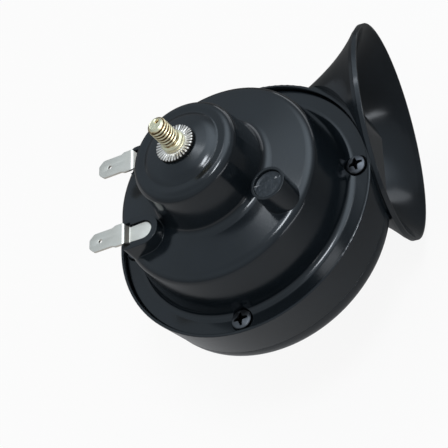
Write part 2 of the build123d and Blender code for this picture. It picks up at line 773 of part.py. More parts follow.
# ---------------------------------------------------------------- leads
lower_post_distance = hypot(*post_places[0])
block_distance = (breaker_across - breaker_block_length / 2) / cos(radians(coil_lead_angle))
lead_ends = (lower_post_distance, block_distance - lead_radius)
for number, (angle, end) in enumerate(zip(coil_lead_angles, lead_ends), 1):
    outward = (cos(radians(angle)), sin(radians(angle)), 0)
    start = winding_radius + fit_gap
    with BuildPart() as coil_lead:
        lead_start = (start * outward[0], start * outward[1], lead_z)
        with BuildSketch(Plane(origin=lead_start, z_dir=outward)) as lead_end:
            Circle(lead_radius)
        extrude(lead_end.sketch, amount=end - start)
    finish(coil_lead, f"coil_lead_{number}")

with BuildPart() as terminal_lead:
    # bent round the magnet from the upper terminal's post to the corner of the breaker's block
    upper_distance = hypot(*post_places[1])
    upper_angle = degrees(atan2(post_places[1][1], post_places[1][0]))
    block_corner_angle = degrees(atan2(block_far, breaker_across - breaker_block_length / 2))
    lead_stop = adjuster_angle + block_corner_angle + degrees((lead_radius - 0.1) / upper_distance)
    with BuildSketch(Plane.XZ) as lead_round:
        with Locations((upper_distance, lead_z)):
            Circle(lead_radius)
    lead_arc = upper_angle - lead_stop
    turned = revolve(lead_round.sketch, axis=Axis.Z, revolution_arc=lead_arc, mode=Mode.PRIVATE)
    add(turned.rotate(Axis.Z, lead_stop))
finish(terminal_lead, "terminal_lead")


# ---------------------------------------------------------------- trumpet housing and front cover
def channel_outline(extra):
    """Outline of the spiral channel, widened by extra on each side, and run on into the bell."""
    left = []
    right = []
    for i in range(channel_stations):
        along = i / (channel_stations - 1)
        angle = radians(90 + channel_turn * (1 - along))
        middle = channel_start_radius + (bell_y - channel_start_radius) * along
        half = channel_start_half_width + (channel_end_half_width - channel_start_half_width) * along + extra
        left.append(((middle + half) * cos(angle), (middle + half) * sin(angle)))
        right.append(((middle - half) * cos(angle), (middle - half) * sin(angle)))
    with BuildSketch(level(front_inside)) as plan:
        with BuildLine():
            Spline(*left)
            Polyline(
                left[-1],
                (left[-1][0] + channel_run_on, left[-1][1]),
                (right[-1][0] + channel_run_on, right[-1][1]),
                right[-1],
            )
            Spline(*right)
            Line(right[0], left[0])
        make_face()
        Circle(throat_radius + extra)
    return plan.sketch


wall_slope = (rim_radius_out - housing_seam_radius) / housing_seam_drop
wall_radius_at_deck = housing_seam_radius + wall_slope * (deck_bottom - seam_z)
with BuildPart() as trumpet_housing:
    turn(
        [
            (0, rim_top, 0),
            (rim_radius_out, rim_top, 0.3),
            (housing_seam_radius, seam_z, 0),
            (housing_inner_radius, seam_z, 0),
            (wall_radius_at_deck - housing_wall, deck_bottom, 0),
            (0, deck_bottom, 0),
        ]
    )
    extrude(channel_outline(channel_wall), amount=chamber_floor - front_inside)
    add(bell_outer)
    # the upper side: chamber, seat for the diaphragm, rim, and the notch in the bell beside it
    sky = bell_z + 2 * bell_mouth_radius
    turn(
        [
            (0, chamber_floor, 0),
            (chamber_radius, chamber_floor, 0),
            (chamber_radius, deck_top, 0),
            (rim_radius_in, deck_top, 0),
            (rim_radius_in, rim_top, 0),
            (bell_notch_radius, rim_top, 0),
            (bell_notch_radius, sky, 0),
            (0, sky, 0),
        ],
        Mode.SUBTRACT,
    )
    extrude(channel_outline(0), amount=deck_bottom - front_inside, mode=Mode.SUBTRACT)
    with BuildPart(mode=Mode.PRIVATE) as bell_hollow:
        add(bell_inner)
        disc(bell_notch_wall_radius, sky, deck_bottom, mode=Mode.SUBTRACT)
    add(bell_hollow.part, mode=Mode.SUBTRACT)
    disc(throat_radius, chamber_floor, deck_bottom, mode=Mode.SUBTRACT)
    disc(screw_clearance, deck_top, screw_seat_z - screw_length, screw_places, Mode.SUBTRACT)
finish(trumpet_housing, "trumpet_housing")

with BuildPart() as spiral_cover:
    turn(
        [
            (0, front_z, 0),
            (housing_seam_radius, front_z, front_corner_radius),
            (housing_seam_radius, seam_z, 0),
            (housing_inner_radius, seam_z, 0),
            (housing_inner_radius, front_inside, front_inner_corner_radius),
            (0, front_inside, 0),
        ]
    )
    add(bell_around, mode=Mode.SUBTRACT)
finish(spiral_cover, "spiral_cover")
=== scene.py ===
import bmesh
import bpy
from math import cos, pi, radians, sin, sqrt, tau
from mathutils import Matrix, Vector, noise


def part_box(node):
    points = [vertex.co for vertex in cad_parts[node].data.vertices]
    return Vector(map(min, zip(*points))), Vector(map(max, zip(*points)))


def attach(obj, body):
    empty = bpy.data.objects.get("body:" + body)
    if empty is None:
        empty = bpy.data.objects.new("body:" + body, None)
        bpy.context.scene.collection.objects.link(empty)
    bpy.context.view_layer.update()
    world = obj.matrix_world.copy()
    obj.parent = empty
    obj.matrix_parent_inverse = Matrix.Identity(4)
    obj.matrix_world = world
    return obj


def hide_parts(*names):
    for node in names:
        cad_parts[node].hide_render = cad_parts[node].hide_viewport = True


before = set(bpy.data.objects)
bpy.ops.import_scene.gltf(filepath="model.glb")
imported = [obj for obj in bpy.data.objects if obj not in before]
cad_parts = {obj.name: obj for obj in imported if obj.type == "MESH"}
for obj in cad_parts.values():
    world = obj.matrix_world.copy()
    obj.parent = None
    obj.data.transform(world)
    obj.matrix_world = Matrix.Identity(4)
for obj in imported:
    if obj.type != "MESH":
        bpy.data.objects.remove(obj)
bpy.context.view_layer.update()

# A snail-shaped car horn. Lengths below are in millimetres in the frame of the CAD model, whose +Z
# runs out along the mounting stud and whose +X is the way the bell faces.
MM = 0.001


# ---------------------------------------------------------------- materials
def linear(hex_code):
    """The linear RGBA colour of an sRGB hex value."""
    channels = [int(hex_code[i : i + 2], 16) / 255 for i in (1, 3, 5)]
    return [c / 12.92 if c <= 0.04045 else ((c + 0.055) / 1.055) ** 2.4 for c in channels] + [1.0]


def add_node(tree, kind, settings=None, values=None, links=None, stops=None):
    """Add a node, set its properties, input values and (place, hex colour) stops, and link its inputs."""
    node = tree.nodes.new(kind)
    for name, value in (settings or {}).items():
        setattr(node, name, value)
    for name, value in (values or {}).items():
        node.inputs[name].default_value = value
    for i, (place, colour) in enumerate(stops or []):
        ramp = node.color_ramp.elements
        stop = ramp[i] if i < 2 else ramp.new(place)
        stop.position = place
        stop.color = linear(colour)
    for name, socket in (links or {}).items():
        tree.links.new(socket, node.inputs[name])
    return node


def per_mm(size):
    """Texture scale at which a pattern repeats about every size millimetres."""
    return 1 / (size * MM)


def start_material(name):
    """A material with an empty node tree."""
    material = bpy.data.materials.new(name)
    material.use_nodes = True
    material.node_tree.nodes.clear()
    return material, material.node_tree


def glossy_moulded_abs():
    # ABS filled with carbon black, injection moulded in a polished tool: blue-black and glossy, with
    # a slow drift of shine across each wall, a faint orange-peel ripple in the skin, and edges that the
    # tool leaves slightly round
    material, tree = start_material("glossy_moulded_abs")
    place = add_node(tree, "ShaderNodeTexCoord").outputs["Object"]
    drift = add_node(
        tree, "ShaderNodeTexNoise", values={"Scale": per_mm(16), "Detail": 3.0}, links={"Vector": place}
    )
    peel = add_node(
        tree, "ShaderNodeTexNoise", values={"Scale": per_mm(2.2), "Detail": 2.0}, links={"Vector": place}
    )
    black = add_node(
        tree, "ShaderNodeValToRGB", links={"Fac": drift.outputs["Fac"]},
        stops=[(0.3, "#101519"), (0.7, "#141a1f")],
    )
    shine = add_node(
        tree, "ShaderNodeMapRange",
        values={"From Min": 0.3, "From Max": 0.7, "To Min": 0.14, "To Max": 0.19},
        links={"Value": drift.outputs["Fac"]},
    )
    edges = add_node(tree, "ShaderNodeBevel", {"samples": 6}, {"Radius": 0.3 * MM})
    skin = add_node(
        tree, "ShaderNodeBump", values={"Strength": 1.0, "Distance": 0.004 * MM},
        links={"Height": peel.outputs["Fac"], "Normal": edges.outputs["Normal"]},
    )
    shader = add_node(
        tree, "ShaderNodeBsdfPrincipled", values={"IOR": 1.54, "Specular IOR Level": 0.5},
        links={
            "Base Color": black.outputs["Color"],
            "Roughness": shine.outputs["Result"],
            "Normal": skin.outputs["Normal"],
        },
    )
    add_node(tree, "ShaderNodeOutputMaterial", links={"Surface": shader.outputs["BSDF"]})
    return material


def yellow_zinc_steel():
    # Steel with a yellow chromate over bright zinc: pale cream and green gold where handling has thinned
    # the film, and dark brown down in the thread's roots, partly where the chromate pools and partly
    # painted shade
    material, tree = start_material("yellow_zinc_steel")
    place = add_node(tree, "ShaderNodeTexCoord").outputs["Object"]
    root_radius, crest_radius = 2.42 * MM, 2.92 * MM
    chamfer_z, tip_z = 7.7 * MM, 8.4 * MM
    across = add_node(
        tree, "ShaderNodeVectorMath", {"operation": "MULTIPLY"}, {1: (1.0, 1.0, 0.0)}, {0: place}
    )
    radius = add_node(
        tree, "ShaderNodeVectorMath", {"operation": "LENGTH"}, links={0: across.outputs["Vector"]}
    )
    # partly painted shade: the colour darkens toward the thread's roots, where the chromate also pools
    crest = add_node(
        tree, "ShaderNodeMapRange",
        values={"From Min": root_radius, "From Max": crest_radius, "To Min": 0.0, "To Max": 0.85},
        links={"Value": radius.outputs["Value"]},
    )
    axes = add_node(tree, "ShaderNodeSeparateXYZ", links={"Vector": place})
    tip = add_node(
        tree, "ShaderNodeMapRange",
        values={"From Min": chamfer_z, "From Max": tip_z, "To Min": 0.0, "To Max": 0.85},
        links={"Value": axes.outputs["Z"]},
    )
    bare_and_unshaded = add_node(
        tree, "ShaderNodeMath", {"operation": "MAXIMUM"},
        links={0: crest.outputs["Result"], 1: tip.outputs["Result"]},
    )
    film = add_node(
        tree, "ShaderNodeTexNoise", values={"Scale": per_mm(1.6), "Detail": 3.0}, links={"Vector": place}
    )
    patches = add_node(
        tree, "ShaderNodeMath", {"operation": "MULTIPLY_ADD"}, {1: 0.9, 2: -0.4}, {0: film.outputs["Fac"]}
    )
    paleness_and_shade = add_node(
        tree, "ShaderNodeMath", {"operation": "ADD"},
        links={0: bare_and_unshaded.outputs["Value"], 1: patches.outputs["Value"]},
    )
    gold = add_node(
        tree, "ShaderNodeValToRGB", links={"Fac": paleness_and_shade.outputs["Value"]},
        stops=[(0.05, "#24140a"), (0.4, "#7a5a38"), (0.62, "#e2cc9e"), (0.8, "#f6ecc8"), (1.0, "#efeccc")],
    )
    grain = add_node(
        tree, "ShaderNodeTexNoise", values={"Scale": per_mm(0.5), "Detail": 2.0}, links={"Vector": place}
    )
    shine = add_node(
        tree, "ShaderNodeMapRange",
        values={"From Min": 0.3, "From Max": 0.7, "To Min": 0.26, "To Max": 0.38},
        links={"Value": grain.outputs["Fac"]},
    )
    relief = add_node(
        tree, "ShaderNodeBump", values={"Strength": 1.0, "Distance": 0.006 * MM},
        links={"Height": grain.outputs["Fac"]},
    )
    shader = add_node(
        tree, "ShaderNodeBsdfPrincipled", values={"Metallic": 0.9},
        links={
            "Base Color": gold.outputs["Color"],
            "Roughness": shine.outputs["Result"],
            "Normal": relief.outputs["Normal"],
        },
    )
    add_node(tree, "ShaderNodeOutputMaterial", links={"Surface": shader.outputs["BSDF"]})
    return material


def bright_zinc_steel():
    # Spring steel barrelled in bright zinc: nearly white on the teeth, and dark grey down between them,
    # where shade is painted in by height
    material, tree = start_material("bright_zinc_steel")
    place = add_node(tree, "ShaderNodeTexCoord").outputs["Object"]
    shaded_gap_z, tooth_z = -2.0 * MM, -1.6 * MM
    axes = add_node(tree, "ShaderNodeSeparateXYZ", links={"Vector": place})
    # painted shade: the colour darkens by height down between the teeth
    crest = add_node(
        tree, "ShaderNodeMapRange",
        values={"From Min": shaded_gap_z, "From Max": tooth_z, "To Min": 0.0, "To Max": 0.8},
        links={"Value": axes.outputs["Z"]},
    )
    bloom = add_node(
        tree, "ShaderNodeTexNoise", values={"Scale": per_mm(1.2), "Detail": 3.0}, links={"Vector": place}
    )
    paleness_and_shade = add_node(
        tree, "ShaderNodeMath", {"operation": "MULTIPLY_ADD"}, {1: 0.4},
        {0: bloom.outputs["Fac"], 2: crest.outputs["Result"]},
    )
    zinc = add_node(
        tree, "ShaderNodeValToRGB", links={"Fac": paleness_and_shade.outputs["Value"]},
        stops=[(0.1, "#2a2826"), (0.5, "#77736e"), (0.8, "#dcd7d0"), (1.0, "#efe9e1")],
    )
    shader = add_node(
        tree, "ShaderNodeBsdfPrincipled", values={"Metallic": 0.85, "Roughness": 0.36},
        links={"Base Color": zinc.outputs["Color"]},
    )
    add_node(tree, "ShaderNodeOutputMaterial", links={"Surface": shader.outputs["BSDF"]})
    return material


def tinned_brass_strip():
    # Rolled brass strip, tin plated: satin and a little warm, with faint rolling lines along the strip
    # and a dull bloom in patches
    material, tree = start_material("tinned_brass_strip")
    place = add_node(tree, "ShaderNodeTexCoord").outputs["Object"]
    along = add_node(
        tree, "ShaderNodeMapping", values={"Scale": (0.1, 1.0, 1.0)}, links={"Vector": place}
    )
    rolling = add_node(
        tree, "ShaderNodeTexNoise", values={"Scale": per_mm(0.22), "Detail": 3.0},
        links={"Vector": along.outputs["Vector"]},
    )
    bloom = add_node(
        tree, "ShaderNodeTexNoise", values={"Scale": per_mm(3.5), "Detail": 3.0}, links={"Vector": place}
    )
    tin = add_node(
        tree, "ShaderNodeValToRGB", links={"Fac": bloom.outputs["Fac"]},
        stops=[(0.3, "#eee7da"), (0.7, "#f7f1e5")],
    )
    shine = add_node(
        tree, "ShaderNodeMapRange",
        values={"From Min": 0.3, "From Max": 0.7, "To Min": 0.34, "To Max": 0.4},
        links={"Value": rolling.outputs["Fac"]},
    )
    relief = add_node(
        tree, "ShaderNodeBump", values={"Strength": 1.0, "Distance": 0.0015 * MM},
        links={"Height": rolling.outputs["Fac"]},
    )
    shader = add_node(
        tree, "ShaderNodeBsdfPrincipled", values={"Metallic": 1.0},
        links={
            "Base Color": tin.outputs["Color"],
            "Roughness": shine.outputs["Result"],
            "Normal": relief.outputs["Normal"],
        },
    )
    add_node(tree, "ShaderNodeOutputMaterial", links={"Surface": shader.outputs["BSDF"]})
    return material


def black_zinc_steel():
    # Steel screw finished in black zinc: pewter grey with a soft shine, cloudy in places, and black
    # down in the recess, where shade is painted in by height
    material, tree = start_material("black_zinc_steel")
    place = add_node(tree, "ShaderNodeTexCoord").outputs["Object"]
    cloud = add_node(
        tree, "ShaderNodeTexNoise", values={"Scale": per_mm(2.5), "Detail": 2.0}, links={"Vector": place}
    )
    zinc = add_node(
        tree, "ShaderNodeValToRGB", links={"Fac": cloud.outputs["Fac"]},
        stops=[(0.3, "#57585b"), (0.7, "#6f7073")],
    )
    # painted shade: the colour goes to black below the dome, down in the cross recess
    head_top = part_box("cover_screw_1")[1][2]
    recess_shade_z, unshaded_z = head_top - 1.0 * MM, head_top - 0.72 * MM
    axes = add_node(tree, "ShaderNodeSeparateXYZ", links={"Vector": place})
    out_of_recess_shade = add_node(
        tree, "ShaderNodeMapRange",
        values={"From Min": recess_shade_z, "From Max": unshaded_z, "To Min": 0.02, "To Max": 1.0},
        links={"Value": axes.outputs["Z"]},
    )
    shaded = add_node(
        tree, "ShaderNodeVectorMath", {"operation": "SCALE"},
        links={0: zinc.outputs["Color"], "Scale": out_of_recess_shade.outputs["Result"]},
    )
    shine = add_node(
        tree, "ShaderNodeMapRange",
        values={"From Min": 0.3, "From Max": 0.7, "To Min": 0.38, "To Max": 0.32},
        links={"Value": cloud.outputs["Fac"]},
    )
    shader = add_node(
        tree, "ShaderNodeBsdfPrincipled", values={"Metallic": 1.0},
        links={"Base Color": shaded.outputs["Vector"], "Roughness": shine.outputs["Result"]},
    )
    add_node(tree, "ShaderNodeOutputMaterial", links={"Surface": shader.outputs["BSDF"]})
    return material


def set_sealing_compound():
    # Sealing compound poured in hot: dark blue-grey and half glossy, with a slumped, pitted skin
    material, tree = start_material("set_sealing_compound")
    place = add_node(tree, "ShaderNodeTexCoord").outputs["Object"]
    skin = add_node(
        tree, "ShaderNodeTexNoise", values={"Scale": per_mm(1.1), "Detail": 4.0}, links={"Vector": place}
    )
    grey = add_node(
        tree, "ShaderNodeValToRGB", links={"Fac": skin.outputs["Fac"]},
        stops=[(0.35, "#20262b"), (0.6, "#2a3036"), (0.75, "#3a4148")],
    )
    shine = add_node(
        tree, "ShaderNodeMapRange",
        values={"From Min": 0.3, "From Max": 0.7, "To Min": 0.34, "To Max": 0.2},
        links={"Value": skin.outputs["Fac"]},
    )
    relief = add_node(
        tree, "ShaderNodeBump", values={"Strength": 1.0, "Distance": 0.03 * MM},
        links={"Height": skin.outputs["Fac"]},
    )
    shader = add_node(
        tree, "ShaderNodeBsdfPrincipled", values={"IOR": 1.5},
        links={
            "Base Color": grey.outputs["Color"],
            "Roughness": shine.outputs["Result"],
            "Normal": relief.outputs["Normal"],
        },
    )
    add_node(tree, "ShaderNodeOutputMaterial", links={"Surface": shader.outputs["BSDF"]})
    return material


def torn_compound_edge():
    # Crumbs of the sealing compound along its tear: matt and pale, whitened by the stress
    material, tree = start_material("torn_compound_edge")
    place = add_node(tree, "ShaderNodeTexCoord").outputs["Object"]
    crumbs = add_node(
        tree, "ShaderNodeTexNoise", values={"Scale": per_mm(0.3), "Detail": 2.0}, links={"Vector": place}
    )
    pale = add_node(
        tree, "ShaderNodeValToRGB", links={"Fac": crumbs.outputs["Fac"]},
        stops=[(0.4, "#8d9196"), (0.6, "#e8eaec")],
    )
    shader = add_node(
        tree, "ShaderNodeBsdfPrincipled", values={"IOR": 1.5, "Roughness": 0.45},
        links={"Base Color": pale.outputs["Color"]},
    )
    add_node(tree, "ShaderNodeOutputMaterial", links={"Surface": shader.outputs["BSDF"]})
    return material


def inner_finish(name, pattern, size, stretch, stops, shine, values):
    """A finish for the inner pieces: one pattern of size millimetres drives its colour and its shine."""
    material, tree = start_material(name)
    place = add_node(tree, "ShaderNodeTexCoord").outputs["Object"]
    stretched = add_node(tree, "ShaderNodeMapping", values={"Scale": stretch}, links={"Vector": place})
    shapes = add_node(
        tree, pattern, values={"Scale": per_mm(size), "Detail": 3.0},
        links={"Vector": stretched.outputs["Vector"]},
    )
    colour = add_node(tree, "ShaderNodeValToRGB", links={"Fac": shapes.outputs["Fac"]}, stops=stops)
    gloss = add_node(
        tree, "ShaderNodeMapRange",
        values={"From Min": 0.3, "From Max": 0.7, "To Min": shine[0], "To Max": shine[1]},
        links={"Value": shapes.outputs["Fac"]},
    )
    shader = add_node(
        tree, "ShaderNodeBsdfPrincipled", values=values,
        links={"Base Color": colour.outputs["Color"], "Roughness": gloss.outputs["Result"]},
    )
    add_node(tree, "ShaderNodeOutputMaterial", links={"Surface": shader.outputs["BSDF"]})
    return material


black_abs = glossy_moulded_abs()
yellow_zinc = yellow_zinc_steel()
bright_zinc = bright_zinc_steel()
tinned_brass = tinned_brass_strip()
black_zinc = black_zinc_steel()
sealing_compound = set_sealing_compound()
compound_crumbs = torn_compound_edge()

speckle, bands = "ShaderNodeTexNoise", "ShaderNodeTexWave"
metal = {"Metallic": 1.0}
even = (1.0, 1.0, 1.0)
# Bare low-carbon steel, turned: grey, with fine rings round the turned sides
magnet_steel = inner_finish(
    "turned_magnet_steel", speckle, size=0.3, stretch=(0.3, 0.3, 2.0),
    stops=[(0.3, "#6c6c6c"), (0.7, "#8a8a88")], shine=(0.3, 0.42), values=metal,
)
# Zinc plated steel whose plating has dulled: grey with pale bloom
dulled_zinc = inner_finish(
    "dulled_zinc_steel", speckle, size=0.7, stretch=even,
    stops=[(0.3, "#5d5b56"), (0.7, "#8d8a82")], shine=(0.35, 0.6), values=metal,
)
# Natural nylon moulding: milky white with a soft sheen
nylon = inner_finish(
    "moulded_nylon", speckle, size=4, stretch=even,
    stops=[(0.3, "#d9d6cb"), (0.7, "#e8e6dd")], shine=(0.4, 0.5), values={"IOR": 1.53},
)
# Copper magnet wire in amber enamel: an even dark red-brown with a shine. Its single turns don't show,
# because the bands run along X, which the stretch flattens.
copper_wire = inner_finish(
    "enamelled_copper_wire", bands, size=10, stretch=(0.0, 0.0, 1.0),
    stops=[(0.3, "#6e2f14"), (0.7, "#b8612f")], shine=(0.25, 0.35), values={"Metallic": 0.9},
)
# Cold rolled spring steel sheet: even grey with fine straight rolling lines
spring_steel = inner_finish(
    "rolled_spring_steel", speckle, size=0.3, stretch=(0.05, 1.0, 1.0),
    stops=[(0.3, "#8c8d8f"), (0.7, "#a3a4a6")], shine=(0.25, 0.38), values=metal,
)
# Pressed cellulose fibre sheet: matt brown, flecked with fibres
gasket_fibre = inner_finish(
    "pressed_gasket_fibre", speckle, size=0.6, stretch=even,
    stops=[(0.3, "#4f4636"), (0.7, "#6d6149")], shine=(0.8, 0.95), values={"IOR": 1.45},
)
# Paper and phenolic resin laminate: an even dark brown. Its layers don't show, as with the turns.
laminate = inner_finish(
    "phenolic_laminate", bands, size=8, stretch=(0.0, 0.0, 1.0),
    stops=[(0.3, "#3c2212"), (0.7, "#5a361d")], shine=(0.35, 0.5), values={"IOR": 1.6},
)
# Rolled phosphor bronze: warm reddish gold, softly brushed
bronze = inner_finish(
    "phosphor_bronze_spring", speckle, size=0.3, stretch=(1.0, 0.1, 1.0),
    stops=[(0.3, "#a8733c"), (0.7, "#c48e50")], shine=(0.25, 0.4), values=metal,
)
# Silver alloy contact: pale and soft, dulled by arcing
silver = inner_finish(
    "silver_contact_alloy", speckle, size=0.5, stretch=even,
    stops=[(0.3, "#b9b8b4"), (0.7, "#dddcd8")], shine=(0.3, 0.5), values=metal,
)

carried_nodes = {
    "rear_cover": black_abs,
    "trumpet_housing": black_abs,
    "spiral_cover": black_abs,
    "terminal_post_lower": tinned_brass,
    "terminal_post_upper": tinned_brass,
    "adjusting_screw": black_zinc,
    "yoke_cup": magnet_steel,
    "pole_core": magnet_steel,
    "armature": magnet_steel,
    "armature_rivet": magnet_steel,
    "coil_bobbin": nylon,
    "coil_winding": copper_wire,
    "coil_lead_1": copper_wire,
    "coil_lead_2": copper_wire,
    "terminal_lead": copper_wire,
    "diaphragm": spring_steel,
    "rear_gasket": gasket_fibre,
    "front_gasket": gasket_fibre,
    "contact_block": laminate,
    "contact_spacer": laminate,
    "contact_spring": bronze,
    "contact_arm": bronze,
    "moving_contact": silver,
    "fixed_contact": silver,
    "breaker_screw_1": dulled_zinc,
    "breaker_screw_2": dulled_zinc,
}
for name, material in carried_nodes.items():
    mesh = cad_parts[name].data
    mesh.materials.clear()
    mesh.materials.append(material)

# ---------------------------------------------------------------- pieces
scene = bpy.context.scene
same_point = 0.0005  # points nearer than this are one point


def lowest_highest(node):
    """A CAD node's lowest and highest corners, in millimetres."""
    low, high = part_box(node)
    return Vector(low) / MM, Vector(high) / MM


def piece(name, points, faces, materials, node, sharp):
    """A piece from points in millimetres that stands for a CAD node, smooth up to an edge angle."""
    mesh = bpy.data.meshes.new(name)
    mesh.from_pydata([Vector(point) * MM for point in points], [], faces)
    shaped = bmesh.new()
    shaped.from_mesh(mesh)
    bmesh.ops.remove_doubles(shaped, verts=shaped.verts, dist=same_point * MM)
    bmesh.ops.recalc_face_normals(shaped, faces=shaped.faces)
    shaped.to_mesh(mesh)
    shaped.free()
    mesh.shade_smooth()
    mesh.set_sharp_from_angle(angle=radians(sharp))
    for material in materials:
        mesh.materials.append(material)
    made = bpy.data.objects.new(name, mesh)
    scene.collection.objects.link(made)
    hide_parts(node)
    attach(made, "root")
    return made


def wrapped(rings, ends="capped"):
    """Points and faces of a skin through closed rings, its ends capped, or joined to each other."""
    count = len(rings[0])
    points = [point for ring in rings for point in ring]
    faces = []
    rows = len(rings)
    for i in range(rows if ends == "joined" else rows - 1):
        j = (i + 1) % rows
        for k in range(count):
            n = (k + 1) % count
            faces.append((i * count + k, i * count + n, j * count + n, j * count + k))
    if ends == "capped":
        for row in (0, rows - 1):
            middle = sum((Vector(point) for point in rings[row]), Vector()) / count
            points.append(middle)
            for k in range(count):
                faces.append((row * count + k, row * count + (k + 1) % count, len(points) - 1))
    return points, faces


def circle(radius, z, around, centre=(0.0, 0.0)):
    """A level ring of points."""
    return [
        (centre[0] + radius * cos(tau * k / around), centre[1] + radius * sin(tau * k / around), z)
        for k in range(around)
    ]


def eased(value, low, high):
    """0 below low, 1 above high, and a smooth rise between."""
    t = min(max((value - low) / (high - low), 0.0), 1.0)
    return t * t * (3 - 2 * t)


def wander(x, y, z):
    """A smooth uneven value between about -1 and 1, always the same at the same place."""
    return noise.noise(Vector((x, y, z)))


def threaded_stud():
    """M6 stud: a plain shoulder, a rolled thread with a run-out above it, and a cupped tip."""
    low, high = lowest_highest("mounting_stud")
    # the pitch is drawn a little coarser than the usual 1 mm
    pitch, major, groove_depth = 1.16, 3.0, 0.6
    groove_mouth, groove_flanks = 0.86, 0.66  # as shares of the pitch
    first_groove, thread_start, run_out = 0.44, 0.85, 0.3
    crest_flat, wear = 0.06, 0.03
    neck_z, neck_cut = 0.3, 0.28
    shoulder_radius, shoulder_bottom = (high.x - low.x) / 2, -1.5
    tip = high.z
    chamfer_start, tip_radius = tip - 0.95, 1.95
    around, thread_rings = 80, 150
    plain = [
        (low.z, major - 0.3), (low.z + 0.3, major), (shoulder_bottom, major),
        (shoulder_bottom, shoulder_radius - 0.1), (shoulder_bottom + 0.1, shoulder_radius),
        (-0.2, shoulder_radius), (-0.05, shoulder_radius - 0.08), (0.0, shoulder_radius - 0.3),
        (0.04, major - 0.1), (neck_z, major - neck_cut),
    ]
    rings = [circle(r, z, around) for z, r in plain]
    for i in range(1, thread_rings + 1):
        z = neck_z + (tip - neck_z) * i / thread_rings
        starting = eased(z, thread_start - 0.35, thread_start + 0.5)
        body = major - neck_cut * (1 - eased(z, thread_start - run_out, thread_start + run_out))
        chamfer = (major - tip_radius) * max(z - chamfer_start, 0.0) / (tip - chamfer_start)
        ring = []
        for k in range(around):
            angle = tau * k / around
            turn = ((z - first_groove) / pitch - k / around) % 1.0
            groove = min(max((groove_mouth - abs(2 * turn - 1)) / groove_flanks, 0.0), 1.0)
            worn = wear * wander(cos(angle) * 2, sin(angle) * 2, z * 1.3)
            r = min(body - groove_depth * groove * starting + worn, major - crest_flat - chamfer)
            ring.append((r * cos(angle), r * sin(angle), z))
        rings.append(ring)
    # the cold-headed tip has a pit off its centre
    pit, pit_depth, pit_floor, pit_edge = Vector((0.5, 0.95)), 0.85, 0.2, 0.85
    for ring_radius in (1.8, 1.6, 1.35, 1.1, 0.85, 0.6, 0.35, 0.15):
        ring = []
        for x, y, z in circle(ring_radius, tip - 0.05, around):
            away = (Vector((x, y)) - pit).length
            lumps = 0.05 * wander(x * 1.7, y * 1.7, 4.0)
            ring.append((x, y, z + lumps - pit_depth * (1 - eased(away, pit_floor, pit_edge))))
        rings.append(ring)
    points, faces = wrapped(rings)
    piece("threaded_stud", points, faces, [yellow_zinc], "mounting_stud", sharp=60)


def toothed_washer():
    """Serrated washer: a flat ring whose rim is pressed into 36 slanted teeth."""
    low, high = lowest_highest("serrated_washer")
    teeth, per_tooth = 36, 12
    hole, outer = 3.15, (high.x - low.x) / 2
    around = teeth * per_tooth
    tooth_depth, tooth_reach = 0.62, 0.36
    slope_start, crest_start = 0.3, 0.75  # as shares of a tooth
    # radius, height, how much of the teeth's depth shows there, and of their reach
    section = [
        (hole, low.z, 0, 0), (outer - 0.5, low.z, 0, 0), (outer - 0.12, low.z + 0.12, 0, 0.5),
        (outer, low.z + 0.4, 0, 1), (outer, high.z - 0.24, 0.75, 1), (outer - 0.08, high.z - 0.1, 1, 1),
        (outer - 0.3, high.z, 1, 0.5), (outer - 0.9, high.z, 0.95, 0), (outer - 1.5, high.z, 0.8, 0),
        (outer - 2.0, high.z, 0.45, 0), (outer - 2.3, high.z, 0, 0), (hole, high.z, 0, 0),
    ]
    rings = []
    for radius, height, depth, reach in section:
        ring = []
        for k in range(around):
            tooth, step = divmod(k, per_tooth)
            u = step / per_tooth
            if u < crest_start:
                slant = eased(u, slope_start, crest_start)
            else:
                slant = 1 - eased(u, crest_start, 1.0)
            uneven = 0.9 + 0.4 * wander(tooth * 1.37, 0.5, 2.0)
            drift = 3 * wander(tooth * 0.91, 3.1, 0.0)
            angle = tau * (k + drift) / around
            r = radius - tooth_reach * reach * slant * uneven
            ring.append((r * cos(angle), r * sin(angle), height - tooth_depth * depth * slant * uneven))
        rings.append(ring)
    points, faces = wrapped(rings, "joined")
    piece("toothed_washer", points, faces, [bright_zinc], "serrated_washer", sharp=25)


def softened(outline, cut_length):
    """The outline with each corner cut back to a short flat."""
    cut = []
    for i, corner in enumerate(outline):
        for neighbour in (outline[i - 1], outline[(i + 1) % len(outline)]):
            run = (neighbour - corner).length
            cut.append(corner.lerp(neighbour, min(cut_length / run, 0.3)))
    return cut


def bent_strip_path(start, top, drop, bend_radius, steepness):
    """A strip's middle line that bends down, runs steeply and bends level again, lower by the drop."""
    bend = bend_radius * steepness
    straight = (drop - 2 * bend_radius * (1 - cos(steepness))) / sin(steepness)

    def at(along):
        first = min(max(along, 0.0), bend)
        middle = min(max(along - bend, 0.0), straight)
        last = min(max(along - bend - straight, 0.0), bend)
        rest = max(along - 2 * bend - straight, 0.0) + min(along, 0.0)
        slope = (first - last) / bend_radius
        x = bend_radius * sin(first / bend_radius) + middle * cos(steepness)
        z = bend_radius * (cos(first / bend_radius) - 1) - middle * sin(steepness)
        x += bend_radius * (sin(steepness) - sin(steepness - last / bend_radius))
        z -= bend_radius * (cos(steepness - last / bend_radius) - cos(steepness))
        return Vector((start + x + rest, top + z)), Vector((sin(slope), cos(slope)))

    return at, 2 * bend + straight


